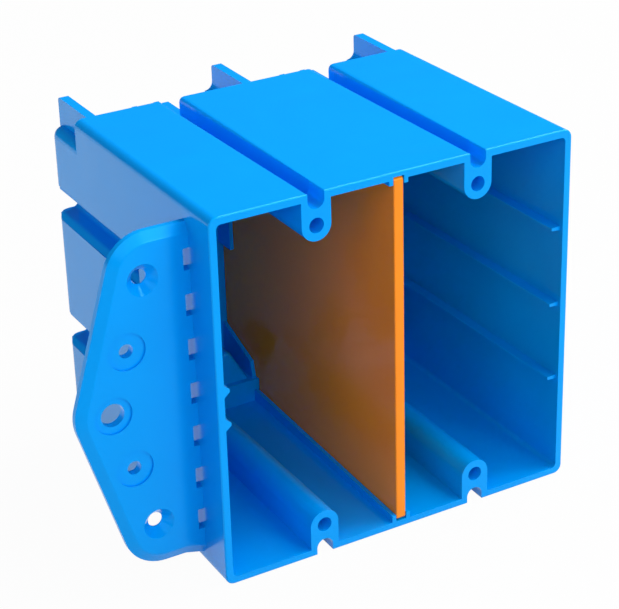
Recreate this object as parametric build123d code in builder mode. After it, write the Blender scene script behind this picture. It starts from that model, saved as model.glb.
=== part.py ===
import os
from math import cos, radians, sin

from build123d import *

os.makedirs("parts", exist_ok=True)

# Two-gang switch box moulded in one piece, with a partition that slides in between the gangs.
# Millimetres. +Z is up, the open front faces -Y and its rim lies in the plane y = 0.
# The origin is midway between the four device screws. "depth" is measured from the rim.

# Device screws
gang_pitch = 46.04
screw_span = 83.34
screw_hole = 4.0
boss_width = 8.1
boss_depth = 7.5

# Outside of the moulding
front_width = 103.1
front_height = 100.4
box_depth = 95.4
outer_draft = 0.9
long_corner = 2.4
shelf_corner = 2.7
back_corner = 4.2
rim_edge = 0.4

# Walls
wall = 2.0
core_draft = 1.5
inner_corner = 1.3
inner_back_corner = 2.2

# Steps across the rear of the top and bottom
step_length = 18.4
step_rise = 0.53
step_foot = 2.0

# Channels behind the screw bosses, open to the outside
channel_wall = 1.5
mouth_width = 4.6
mouth_land = 4.3
channel_rim = 0.7
front_flare = 0.3
back_flare = 1.4
flare_facets = 3

# Fins on the steps
fin_thickness = 2.65
fin_foot = 2.4
fin_corner = 1.0

# Cable entries: V-shaped troughs in the steps, each closed at its front by a flap
entry_drop = 13.6
entry_wall = 1.6
entry_round = 1.6
entry_edge = 1.0
entry_gap = 1.1
entry_setback = 0.2
flap_thickness = 1.4
score_width = 0.6
score_depth = 0.8

# Partition and the rails that hold it
divider_thickness = 2.8
divider_clearance = 0.15
divider_corner = 1.0
divider_edge = 0.4
rail_thickness = 1.15
top_rail_front = 1.3
top_rail_back = 3.0
bottom_rail_front = 1.9
bottom_rail_back = 3.6
rail_groove = 0.8
gusset_rise = 1.7
gusset_lean = 2.0
gusset_low = 5.0
gusset_high = 11.0
spine_depth = 7.0
spine_end = -3.5

# Ribs on the inside of the side walls
side_rib_height = 2.6
side_rib_base = 1.2
side_rib_tip = 0.8
side_rib_pitch = 21.7
side_rib_centre = 1.0
side_rib_start = 1.2
lug_height = 1.5
lug_base = 3.3
lug_tip = 0.8
lug_pitch = 9.2

# Grooves in the outside of the left wall
groove_pitch = 38.2
groove_centre = 1.0
groove_height = 6.0
groove_depth = 6.5
groove_start = 41.5
groove_round = 1.4
lip_thickness = 1.7
lip_setback = 1.2
lip_round = 0.85
lip_gap = 0.9
lip_gap_depth = 0.95

# Mounting bracket, a flat plate standing out from the left wall
bracket_setback = 11.1
bracket_thickness = 2.8
bracket_reach = 32.25
bracket_height = 90.6
bracket_slant = 13.6
bracket_corner = 11.0
bracket_nose = 12.0
bracket_root = 5.0
bracket_flare = 1.6
bracket_bevel = 2.6
bracket_bevel_depth = 1.3
bracket_edge = 1.2
nail_hole = 3.9
nail_head = 8.2
nail_reach = 12.35
nail_span = 67.0
pad_diameter = 9.8
pad_sink = 0.6
pad_hole = 3.6
pad_reach = 17.65
pad_span = 32.0
middle_hole = 6.1
middle_reach = 22.25
slot_pitch = 12.0
slot_height = 5.7
slot_width = 1.6
slot_count = 7

# Heights and places that follow from the sizes above
screw_row = screw_span / 2
channel_column = gang_pitch / 2
channel_width = boss_width - 2 * channel_wall
step_start = box_depth - step_length
step_level = screw_row + step_rise
ceiling_depth = step_start - wall
rear_depth = box_depth - wall
clear = front_height
embed = wall / 2


def section(depth):
    # A plane across the box, seen from the front
    return Plane.XZ.offset(-depth)


def outer_half(size, depth):
    return size / 2 - outer_draft * depth / box_depth


def inner_half(size, depth):
    return size / 2 - wall - core_draft * depth / box_depth


def drafted_block(width, height, length, draft):
    # A block whose four sides lean inwards towards the rear
    lean = draft * length / box_depth
    with BuildPart() as block:
        with BuildSketch(Plane.XY):
            with BuildLine():
                Polyline(
                    (-width / 2, 0),
                    (width / 2, 0),
                    (width / 2 - lean, length),
                    (lean - width / 2, length),
                    close=True,
                )
            make_face()
        extrude(amount=height, both=True)
        with BuildSketch(Plane.YZ):
            with BuildLine():
                Polyline(
                    (0, -height / 2),
                    (0, height / 2),
                    (length, height / 2 - lean),
                    (length, lean - height / 2),
                    close=True,
                )
            make_face()
        extrude(amount=width, both=True, mode=Mode.INTERSECT)
    return block.part


def stepped_form(width, height, level, front_length, length, draft, side_edge, step_edge, back_edge):
    # A drafted block with a lower block behind it, their long edges and rear corners rounded
    with BuildPart() as front:
        add(drafted_block(width, height, front_length, draft))
        long_edges = front.edges().filter_by(Axis.X, reverse=True).filter_by(Axis.Z, reverse=True)
        fillet(long_edges, radius=side_edge)
    with BuildPart() as rear:
        add(drafted_block(width, height, length, draft))
        Box(2 * width, 2 * length, 2 * level, mode=Mode.INTERSECT)
        fillet(rear.edges().filter_by(Axis.Z).group_by(Axis.Y)[-1], radius=back_edge)
        flat_faces = rear.faces().sort_by(Axis.Z)
        fillet(flat_faces[0].edges() + flat_faces[-1].edges(), radius=step_edge)
    return front.part + rear.part


# Outer form: the outside of the walls
outer = stepped_form(
    front_width,
    front_height,
    step_level,
    step_start,
    box_depth,
    outer_draft,
    long_corner,
    shelf_corner,
    back_corner,
)

# Hollow: the space that the core leaves, lower behind the steps
hollow = stepped_form(
    front_width - 2 * wall,
    front_height - 2 * wall,
    step_level - wall,
    ceiling_depth,
    rear_depth,
    core_draft,
    inner_corner,
    inner_corner,
    inner_back_corner,
)

# Foot: the rounded corner between a step and the wall in front of it
with BuildPart() as foot:
    with BuildSketch(Plane.YZ):
        with Locations((step_start + (step_foot - embed) / 2, step_level + (step_foot - embed) / 2)):
            Rectangle(step_foot + embed, step_foot + embed)
        with Locations((step_start + step_foot, step_level + step_foot)):
            Circle(step_foot, mode=Mode.SUBTRACT)
    extrude(amount=outer_half(front_width, box_depth) - shelf_corner, both=True)

fin_top = outer_half(front_height, step_start)


def fin_form(feet):
    # A fin standing on a step, with a spreading foot on the sides listed in feet
    with BuildPart() as fin:
        with BuildSketch(section(step_start - embed)):
            with Locations((0, (step_level - embed + fin_top) / 2)):
                Rectangle(fin_thickness, fin_top - step_level + embed)
            for side in feet:
                with Locations((side * (fin_thickness + fin_foot) / 2, step_level + (fin_foot - embed) / 2)):
                    Rectangle(fin_foot, fin_foot + embed)
                with Locations((side * (fin_thickness / 2 + fin_foot), step_level + fin_foot)):
                    Circle(fin_foot, mode=Mode.SUBTRACT)
        extrude(amount=-(step_length + embed))
        fillet(fin.edges().filter_by(Axis.X).group_by(Axis.Z)[-1].sort_by(Axis.Y)[-1], radius=fin_corner)
    return fin.part


def channel_form(width, tip_centre, crest, start, end):
    # A slab across a wall from front to rear, with a half-round inner end
    with BuildPart() as form:
        with BuildSketch(section(start)):
            with BuildLine():
                Polyline(
                    (width / 2, tip_centre),
                    (width / 2, crest),
                    (-width / 2, crest),
                    (-width / 2, tip_centre),
                )
                ThreePointArc(
                    (-width / 2, tip_centre),
                    (0, tip_centre - width / 2),
                    (width / 2, tip_centre),
                )
            make_face()
        extrude(amount=-(end - start))
    return form.part


# Channel wall: the folded-in ridge whose front is the screw boss
ridge_crest = inner_half(front_height, 0) + embed
with BuildPart() as channel_ridge:
    add(channel_form(boss_width, screw_row, ridge_crest, 0, step_start))
    add(channel_form(boss_width, screw_row, step_level + channel_rim, ceiling_depth, rear_depth))

# Channel cut: deep behind the boss, shallow over it, with edges that flare towards the rear
mouth_row = screw_row + mouth_land + mouth_width / 2
with BuildPart() as channel_cut:
    add(channel_form(channel_width, screw_row, clear, boss_depth, box_depth + embed))
    add(channel_form(mouth_width, mouth_row, clear, -embed, boss_depth + embed))
    for depth, width, flare in (
        (-embed, mouth_width, front_flare),
        (step_start + embed, channel_width, back_flare),
    ):
        top = outer_half(front_height, depth)
        turns = [radians(90 * step / flare_facets) for step in range(flare_facets + 1)]
        side = [(width / 2 + flare * (1 - cos(turn)), top - flare * (1 - sin(turn))) for turn in turns]
        side.append((width / 2 + flare, top + embed))
        with BuildSketch(section(depth)):
            with BuildLine():
                Polyline(side + [(-x, z) for x, z in reversed(side)], close=True)
            make_face()
    loft(ruled=True)

# Cable entries lie midway between a channel wall and a fin
bay_width = gang_pitch / 2 - fin_thickness / 2 - boss_width / 2
entry_offset = (boss_width + bay_width) / 2
entry_front = step_start - entry_setback
entry_half = bay_width / 2 - entry_gap
entry_slope = (entry_half**2 + entry_drop**2) ** 0.5
trough_drop = entry_drop - entry_wall * entry_slope / entry_half
trough_half = entry_half * trough_drop / entry_drop
score_drop = trough_drop - score_width * entry_slope / entry_half
score_half = trough_half * score_drop / trough_drop

# Entry: the V-shaped form that stands into the box
with BuildPart() as entry:
    with BuildSketch(section(entry_front)):
        with BuildLine():
            FilletPolyline(
                (-entry_half, step_level),
                (0, step_level - entry_drop),
                (entry_half, step_level),
                radius=[0, entry_round, 0],
                close=True,
            )
        make_face()
    extrude(amount=-(rear_depth - entry_front))
    front_outline = entry.faces().sort_by(Axis.Y)[0].edges()
    fillet(front_outline.sort_by(Axis.Z)[:-1], radius=entry_edge)

# Trough: what the entry leaves open from outside, and the score line round its flap
with BuildPart() as trough:
    with BuildSketch(section(entry_front + flap_thickness)):
        with BuildLine():
            Polyline(
                (-trough_half, step_level + step_foot),
                (-trough_half, step_level),
                (0, step_level - trough_drop),
                (trough_half, step_level),
                (trough_half, step_level + step_foot),
                close=True,
            )
        make_face()
    extrude(amount=-box_depth)
    with BuildSketch(section(entry_front + flap_thickness)):
        with BuildLine():
            Polyline(
                (-trough_half, step_level),
                (0, step_level - trough_drop),
                (trough_half, step_level),
                (score_half, step_level),
                (0, step_level - score_drop),
                (-score_half, step_level),
                close=True,
            )
        make_face()
    extrude(amount=score_depth)

# The guides stand beside the partition with a running clearance
rail_inner = divider_thickness / 2 + divider_clearance


def guide_rail(front_tall, back_tall):
    # Runs along the top wall, then up a gusset behind the step and into the rear wall
    front_root = inner_half(front_height, 0)
    back_root = inner_half(front_height, ceiling_depth)
    with BuildPart() as rail:
        with BuildSketch(Plane.YZ.offset(rail_inner)):
            with BuildLine():
                Polyline(
                    (0, front_root + embed),
                    (0, front_root - front_tall),
                    (ceiling_depth, back_root - back_tall),
                    (ceiling_depth + embed, back_root - back_tall),
                    (ceiling_depth + embed, back_root + embed),
                    close=True,
                )
            make_face()
            with BuildLine():
                Polyline(
                    (ceiling_depth, step_level + gusset_rise),
                    (ceiling_depth + gusset_lean, step_level - wall - gusset_low),
                    (rear_depth, step_level - wall - gusset_high),
                    (rear_depth + embed, step_level - wall - gusset_high),
                    (rear_depth + embed, step_level - embed),
                    (ceiling_depth + embed, step_level - embed),
                    (ceiling_depth + embed, step_level + gusset_rise),
                    close=True,
                )
            make_face()
        extrude(amount=rail_thickness)
    return rail.part


# Rail cut: the shallow groove between the top rails that the partition runs in
with BuildPart() as rail_cut:
    with BuildSketch(Plane.YZ):
        with BuildLine():
            Polyline(
                (-embed, inner_half(front_height, -embed) - embed),
                (-embed, inner_half(front_height, -embed) + rail_groove),
                (ceiling_depth, inner_half(front_height, ceiling_depth) + rail_groove),
                (ceiling_depth, inner_half(front_height, ceiling_depth) - embed),
                close=True,
            )
        make_face()
    extrude(amount=rail_inner, both=True)

# Spine: the guide on the rear wall, above its middle
with BuildPart() as spine:
    with BuildSketch(Plane.YZ.offset(rail_inner)):
        with BuildLine():
            Polyline(
                (rear_depth - spine_depth, spine_end),
                (rear_depth - spine_depth, step_level - embed),
                (rear_depth + embed, step_level - embed),
                (rear_depth + embed, spine_end),
                close=True,
            )
        make_face()
    extrude(amount=rail_thickness)


def wall_rib(start, height, base, tip):
    # A rib along the inside of the right wall, at mid height, following its draft
    with BuildPart() as rib:
        for depth in (start, rear_depth + embed):
            face = inner_half(front_width, depth)
            with BuildSketch(section(depth)):
                with BuildLine():
                    Polyline(
                        (face + embed, -base / 2),
                        (face, -base / 2),
                        (face - height, -tip / 2),
                        (face - height, tip / 2),
                        (face, base / 2),
                        (face + embed, base / 2),
                        close=True,
                    )
                make_face()
        loft(ruled=True)
    return rib.part


side_rib = wall_rib(side_rib_start, side_rib_height, side_rib_base, side_rib_tip)
lug_rib = wall_rib(0, lug_height, lug_base, lug_tip)

# Side groove: cut in the left wall under a set-back lip, with a rounded edge below
groove_side = -outer_half(front_width, box_depth)
groove_floor = groove_side + groove_depth
groove_top = groove_height / 2
lip_face = groove_side + lip_setback
lip_top = groove_top + lip_thickness
with BuildPart() as groove_cut:
    with BuildSketch(section(groove_start)):
        with BuildLine():
            FilletPolyline(
                (groove_side - groove_depth, -groove_top - groove_round),
                (groove_side, -groove_top - groove_round),
                (groove_side + groove_round, -groove_top),
                (groove_floor, -groove_top),
                (groove_floor, groove_top),
                (lip_face, groove_top),
                (lip_face, lip_top),
                (lip_face + lip_gap_depth, lip_top),
                (lip_face + lip_gap_depth, lip_top + lip_gap),
                (groove_side - groove_depth, lip_top + lip_gap),
                radius=[0, 0, groove_round, groove_round, groove_round, lip_round, lip_round, 0, 0, 0],
                close=True,
            )
        make_face()
    extrude(amount=-box_depth)

# Groove fold: the wall round the groove, standing into the box
with BuildPart() as groove_fold:
    with BuildSketch(section(groove_start - wall)):
        with BuildLine():
            FilletPolyline(
                (groove_side + embed, -groove_top - wall),
                (groove_floor + wall, -groove_top - wall),
                (groove_floor + wall, lip_top + wall),
                (groove_side + embed, lip_top + wall),
                radius=[0, groove_round + wall, groove_round + wall, 0],
                close=True,
            )
        make_face()
    extrude(amount=-(rear_depth + embed - groove_start + wall))

# Bracket: a plate with a blunt nose, joined to the wall along a row of slots
bracket_root_x = -outer_half(front_width, bracket_setback)
bracket_half = bracket_height / 2
bracket_shoulder = bracket_root_x + bracket_slant - bracket_reach
with BuildPart() as bracket:
    with BuildSketch(section(bracket_setback)):
        with BuildLine():
            FilletPolyline(
                (bracket_root_x + embed, bracket_half),
                (bracket_shoulder, bracket_half),
                (bracket_root_x - bracket_reach, 0),
                (bracket_shoulder, -bracket_half),
                (bracket_root_x - bracket_root, -bracket_half),
                (bracket_root_x + embed, -bracket_half - bracket_flare),
                radius=[0, bracket_corner, bracket_nose, bracket_corner, bracket_root, 0],
                close=True,
            )
        make_face()
    extrude(amount=-bracket_thickness)
    front_face = bracket.faces().sort_by(Axis.Y)[0]
    chamfer(
        front_face.edges().sort_by(Axis.X)[:-1],
        length=bracket_bevel,
        length2=bracket_bevel_depth,
        reference=front_face,
    )
    fillet(bracket.faces().sort_by(Axis.Y)[0].edges().sort_by(Axis.X)[:-1], radius=bracket_edge)
    with BuildSketch(section(bracket_setback)):
        with Locations((bracket_root_x - slot_width / 2, 0)):
            with GridLocations(0, slot_pitch, 1, slot_count):
                Rectangle(slot_width, slot_height)
    extrude(amount=-bracket_thickness, mode=Mode.SUBTRACT)
    with Locations(section(bracket_setback)):
        with Locations((bracket_root_x - pad_reach, 0)):
            with GridLocations(0, pad_span, 1, 2):
                CounterBoreHole(pad_hole / 2, pad_diameter / 2, pad_sink, bracket_thickness)
        with Locations((bracket_root_x - middle_reach, 0)):
            CounterBoreHole(middle_hole / 2, pad_diameter / 2, pad_sink, bracket_thickness)
        with Locations((bracket_root_x - nail_reach, 0)):
            with GridLocations(0, nail_span, 1, 2):
                CounterSinkHole(nail_hole / 2, nail_head / 2, bracket_thickness)

# What the upper half adds to the shell, and what is then cut from it
entry_columns = [
    side * channel_column + hand * entry_offset for side in (-1, 1) for hand in (-1, 1)
]

with BuildPart() as upper_forms:
    add(foot.part)
    add(fin_form((-1, 1)))
    for side in (-1, 1):
        with Locations((side * gang_pitch, 0, 0)):
            add(fin_form((-side,)))
    with GridLocations(gang_pitch, 0, 2, 1):
        add(channel_ridge.part)
    with Locations(*[(column, 0, 0) for column in entry_columns]):
        add(entry.part)

with BuildPart() as upper_cuts:
    with GridLocations(gang_pitch, 0, 2, 1):
        add(channel_cut.part)
    with Locations(*[(column, 0, 0) for column in entry_columns]):
        add(trough.part)

with BuildPart() as guides:
    add(guide_rail(top_rail_front, top_rail_back))
    add(mirror(guide_rail(bottom_rail_front, bottom_rail_back), about=Plane.XY, mode=Mode.PRIVATE))
    add(spine.part)
    mirror(about=Plane.YZ)

# The box, one moulding
with BuildPart() as box:
    add(outer)
    fillet(box.faces().sort_by(Axis.Y)[0].edges(), radius=rim_edge)
    add(hollow, mode=Mode.SUBTRACT)
    add(upper_forms.part)
    mirror(upper_forms.part, about=Plane.XY)
    add(guides.part)
    with Locations(*[(0, 0, side_rib_centre + row * side_rib_pitch) for row in (-1, 0, 1)]):
        add(side_rib)
    with Locations(*[(0, 0, row * lug_pitch / 2) for row in (-1, 1)]):
        add(mirror(lug_rib, about=Plane.YZ, mode=Mode.PRIVATE))
    with Locations(*[(0, 0, groove_centre + row * groove_pitch / 2) for row in (-1, 1)]):
        add(groove_fold.part)
    with Locations(*[(0, 0, groove_centre + row * groove_pitch / 2) for row in (-1, 1)]):
        add(groove_cut.part, mode=Mode.SUBTRACT)
    add(upper_cuts.part, mode=Mode.SUBTRACT)
    mirror(upper_cuts.part, about=Plane.XY, mode=Mode.SUBTRACT)
    add(rail_cut.part, mode=Mode.SUBTRACT)
    with BuildSketch(section(-embed)):
        with GridLocations(gang_pitch, screw_span, 2, 2):
            Circle(screw_hole / 2)
    extrude(amount=-(boss_depth + 2 * embed), mode=Mode.SUBTRACT)
    add(bracket.part)

box.part.label = "box"
export_step(box.part, "parts/box.step")

# The partition: a plate notched to pass behind the steps
divider_gap = divider_clearance * 2
with BuildPart() as divider:
    with BuildSketch(Plane.YZ):
        with BuildLine():
            FilletPolyline(
                (0, -inner_half(front_height, 0) + divider_gap),
                (0, inner_half(front_height, 0) + rail_groove - divider_gap),
                (
                    ceiling_depth - divider_gap,
                    inner_half(front_height, ceiling_depth) + rail_groove - divider_gap,
                ),
                (ceiling_depth - divider_gap, step_level - wall - divider_gap),
                (rear_depth - divider_gap, step_level - wall - divider_gap),
                (rear_depth - divider_gap, -step_level + wall + divider_gap),
                (ceiling_depth - divider_gap, -step_level + wall + divider_gap),
                (ceiling_depth - divider_gap, -inner_half(front_height, ceiling_depth) + divider_gap),
                radius=[divider_corner] * 3 + [0] + [divider_corner] * 2 + [0, divider_corner],
                close=True,
            )
        make_face()
    extrude(amount=divider_thickness / 2, both=True)
    fillet(divider.edges().filter_by(Axis.Z).group_by(Axis.Y)[0], radius=divider_edge)

divider.part.label = "divider"
export_step(divider.part, "parts/divider.step")
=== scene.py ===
import math

import bpy
from mathutils import Matrix, Vector


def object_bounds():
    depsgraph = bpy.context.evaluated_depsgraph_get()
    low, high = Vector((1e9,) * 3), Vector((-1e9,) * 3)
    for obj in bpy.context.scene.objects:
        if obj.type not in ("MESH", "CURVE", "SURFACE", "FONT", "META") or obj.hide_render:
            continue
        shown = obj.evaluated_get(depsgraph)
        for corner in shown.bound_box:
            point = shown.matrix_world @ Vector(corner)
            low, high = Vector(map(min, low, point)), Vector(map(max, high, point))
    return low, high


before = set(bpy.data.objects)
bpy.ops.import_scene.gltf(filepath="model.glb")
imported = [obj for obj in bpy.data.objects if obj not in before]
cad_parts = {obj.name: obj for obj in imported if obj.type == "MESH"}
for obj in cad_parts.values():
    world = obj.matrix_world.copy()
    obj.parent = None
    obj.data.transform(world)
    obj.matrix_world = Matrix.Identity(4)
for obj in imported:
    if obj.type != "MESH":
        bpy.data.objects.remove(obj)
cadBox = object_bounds()
print("frame loaded:", ", ".join(sorted(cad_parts)))

mm = 0.001
scene = bpy.context.scene
scene.view_settings.view_transform = "Standard"


def hexColor(text):
    # sRGB hex to the linear colour that the sockets take
    def linear(v):
        return v / 12.92 if v <= 0.04045 else ((v + 0.055) / 1.055) ** 2.4
    return tuple(linear(int(text[i:i + 2], 16) / 255) for i in (1, 3, 5)) + (1.0,)


def addNode(tree, kind, settings=None, inputs=None):
    # one node, its settings, and its sockets: a value is set, a socket is linked
    node = tree.nodes.new(kind)
    for name, value in (settings or {}).items():
        setattr(node, name, value)
    for name, value in (inputs or {}).items():
        if isinstance(value, bpy.types.NodeSocket):
            tree.links.new(value, node.inputs[name])
        else:
            node.inputs[name].default_value = value
    return node


def newMaterial(name):
    material = bpy.data.materials.new(name)
    material.use_nodes = True
    tree = material.node_tree
    tree.nodes.clear()
    return material, tree


def lookAlong(azimuth, elevation, roll):
    # camera axes for a view from this azimuth and elevation; at azimuth 0 it looks along +Y
    a, e, r = (math.radians(v) for v in (azimuth, elevation, roll))
    right = Vector((math.cos(a), math.sin(a), 0))
    back = Vector((math.sin(a) * math.cos(e), -math.cos(a) * math.cos(e), math.sin(e)))
    up = back.cross(right)
    turnedRight = right * math.cos(r) + up * math.sin(r)
    turnedUp = up * math.cos(r) - right * math.sin(r)
    return turnedRight, turnedUp, back


# Camera: fitted to the screw holes and the outlines in the photo
cameraSet = {
    "azimuth": -29.791,
    "elevation": 25.519,
    "roll": -1.402,
    "place": (-0.23456, -0.37439, 0.23449),
    "focalPixels": 1991.8,
    "centre": (328.05, 272.84),  # the pixel that the lens points at
    "image": (619, 609),
    "sensorWidth": 36,
    "nearClip": 0.01,
}


def makeCamera(s):
    width, height = s["image"]
    data = bpy.data.cameras.new("photoCamera")
    data.sensor_width = s["sensorWidth"]
    data.lens = s["focalPixels"] / width * data.sensor_width
    data.shift_x = (width / 2 - s["centre"][0]) / width
    data.shift_y = (s["centre"][1] - height / 2) / width
    data.clip_start = s["nearClip"]
    camera = bpy.data.objects.new("photoCamera", data)
    axes = lookAlong(s["azimuth"], s["elevation"], s["roll"])
    turn = Matrix(axes).transposed().to_4x4()
    camera.matrix_world = Matrix.Translation(s["place"]) @ turn
    scene.collection.objects.link(camera)
    scene.camera = camera


makeCamera(cameraSet)
print("camera set")


# Floor and light: four softboxes and a small strip in a dim even room. The floor is pale paper that
# keeps the shadow, and its white is for the camera, gloss and glass alone, so it lights nothing.
studioSet = {
    "floorColor": "#BCBDBE",
    "floorSize": 6.0,
    "floorGlow": 0.97,  # how far the white covers the paper's own shade
    "whiteColor": "#FFFFFF",
    "whiteStrength": 1.0,
    "roomColor": "#F2F4F7",
    "roomStrength": 0.06,
    "aim": (0, 0.04, 0),
    "lamps": [
        {"name": "topSoftbox", "place": (0.75, 0.05, 0.95), "size": (1.0, 1.0), "power": 22.0},
        {"name": "rightSoftbox", "place": (0.65, -0.9, 0.65), "size": (0.8, 0.8), "power": 3.5},
        {"name": "frontSoftbox", "place": (-0.5, -1.05, 0.7), "size": (2.2, 1.1), "power": 12.5},
        {"name": "leftSoftbox", "place": (-1.0, 0.5, 0.16), "size": (0.6, 0.4), "power": 2.4},
        {"name": "frontStrip", "place": (0.4, -1.0, 0.37), "size": (0.3, 0.2), "power": 2.2},
    ],
}


def makeFloor(s):
    low = cadBox[0][2]
    bpy.ops.object.select_all(action="DESELECT")
    bpy.ops.mesh.primitive_plane_add(size=s["floorSize"], location=(0, 0, low))
    floor = bpy.context.object
    floor.name = "floor"
    material, tree = newMaterial("white paper sweep")
    paper = addNode(tree, "ShaderNodeBsdfDiffuse", inputs={"Color": hexColor(s["floorColor"])})
    white = addNode(tree, "ShaderNodeEmission", inputs={
        "Color": hexColor(s["whiteColor"]), "Strength": s["whiteStrength"]})
    path = addNode(tree, "ShaderNodeLightPath")
    seen = path.outputs["Is Camera Ray"]
    for ray in ("Is Glossy Ray", "Is Transmission Ray"):
        either = addNode(tree, "ShaderNodeMath", {"operation": "MAXIMUM"}, {
            0: seen, 1: path.outputs[ray]})
        seen = either.outputs[0]
    share = addNode(tree, "ShaderNodeMath", {"operation": "MULTIPLY"}, {0: seen, 1: s["floorGlow"]})
    both = addNode(tree, "ShaderNodeMixShader", inputs={
        0: share.outputs[0], 1: paper.outputs[0], 2: white.outputs[0]})
    addNode(tree, "ShaderNodeOutputMaterial", inputs={"Surface": both.outputs[0]})
    floor.data.materials.append(material)


def makeRoom(s):
    world = bpy.data.worlds.new("studio")
    world.use_nodes = True
    tree = world.node_tree
    tree.nodes.clear()
    glow = addNode(tree, "ShaderNodeBackground", inputs={
        "Color": hexColor(s["roomColor"]), "Strength": s["roomStrength"]})
    addNode(tree, "ShaderNodeOutputWorld", inputs={"Surface": glow.outputs[0]})
    scene.world = world


def makeLamp(lamp, target):
    data = bpy.data.lights.new(lamp["name"], "AREA")
    data.shape = "RECTANGLE"
    data.size, data.size_y = lamp["size"]
    data.energy = lamp["power"]
    light = bpy.data.objects.new(lamp["name"], data)
    light.location = lamp["place"]
    aim = Vector(target) - Vector(lamp["place"])
    light.rotation_euler = aim.to_track_quat("-Z", "Y").to_euler()
    scene.collection.objects.link(light)


makeFloor(studioSet)
makeRoom(studioSet)
for lamp in studioSet["lamps"]:
    makeLamp(lamp, studioSet["aim"])
print("floor and lamps set")


# The box: PVC, dyed blue right through and injection-moulded in a polished tool. That gives an even
# colour and a clear gloss, which waves where the melt flowed and is softened by a faint orange peel.
# Real peel is a few tenths of a millimetre wide and real waves are a few hundredths deep, so both are
# drawn larger here, to show at the size of the picture.
bluePvcSet = {
    "color": "#009EFA",
    "shadeColor": "#0098F4",  # where the melt cooled slower
    "roughness": (0.14, 0.24),  # untouched and handled
    "ior": 1.45,
    "glossTint": "#64DCFF",
    "flowWave": 22 * mm,
    "flowHeight": 0.16 * mm,
    "peelGrain": 1.1 * mm,
    "peelHeight": 0.008 * mm,
    "rubMark": 7 * mm,
}


# The partition: ABS, dyed orange and moulded with a little more gloss than the box. Its plate is thin
# and flat, so its waves are closer and shallower. Peel and waves are drawn larger, as on the box.
orangeAbsSet = {
    "color": "#FF9008",
    "shadeColor": "#FC8804",
    "roughness": (0.06, 0.12),
    "ior": 1.6,
    "glossTint": "#FFDCB4",
    "flowWave": 14 * mm,
    "flowHeight": 0.04 * mm,
    "peelGrain": 0.9 * mm,
    "peelHeight": 0.003 * mm,
    "rubMark": 5 * mm,
}


# What the patterns of both plastics share
skinSet = {
    "flowDetail": 1.0,
    "flowBend": 0.6,
    "peelDetail": 2.0,
    "rubDetail": 4.0,
    "rubBreak": 0.6,
    "rubRange": (0.35, 0.7),  # below it the gloss is untouched, above it fully handled
}


def mouldedPlastic(name, s):
    material, tree = newMaterial(name)
    coords = addNode(tree, "ShaderNodeTexCoord").outputs["Object"]
    waves = addNode(tree, "ShaderNodeTexNoise", inputs={
        "Vector": coords, "Scale": 1 / s["flowWave"],
        "Detail": skinSet["flowDetail"], "Distortion": skinSet["flowBend"]})
    peel = addNode(tree, "ShaderNodeTexNoise", inputs={
        "Vector": coords, "Scale": 1 / s["peelGrain"], "Detail": skinSet["peelDetail"]})
    rubs = addNode(tree, "ShaderNodeTexNoise", inputs={
        "Vector": coords, "Scale": 1 / s["rubMark"],
        "Detail": skinSet["rubDetail"], "Roughness": skinSet["rubBreak"]})
    tint = addNode(tree, "ShaderNodeMix", {"data_type": "RGBA"}, {
        "Factor": waves.outputs[0], "A": hexColor(s["color"]), "B": hexColor(s["shadeColor"])})
    gloss = addNode(tree, "ShaderNodeMapRange", inputs={
        "Value": rubs.outputs[0],
        "From Min": skinSet["rubRange"][0], "From Max": skinSet["rubRange"][1],
        "To Min": s["roughness"][0], "To Max": s["roughness"][1]})
    slow = addNode(tree, "ShaderNodeBump", inputs={
        "Height": waves.outputs[0], "Distance": s["flowHeight"]})
    fine = addNode(tree, "ShaderNodeBump", inputs={
        "Height": peel.outputs[0], "Distance": s["peelHeight"], "Normal": slow.outputs[0]})
    skin = addNode(tree, "ShaderNodeBsdfPrincipled", inputs={
        "Base Color": tint.outputs["Result"], "Roughness": gloss.outputs[0], "IOR": s["ior"],
        "Specular Tint": hexColor(s["glossTint"]), "Normal": fine.outputs[0]})
    addNode(tree, "ShaderNodeOutputMaterial", inputs={"Surface": skin.outputs[0]})
    return material


def dress(node, material):
    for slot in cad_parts[node].material_slots:
        slot.material = material


dress("box", mouldedPlastic("blue moulded PVC", bluePvcSet))
dress("divider", mouldedPlastic("orange moulded ABS", orangeAbsSet))
print("materials assigned")
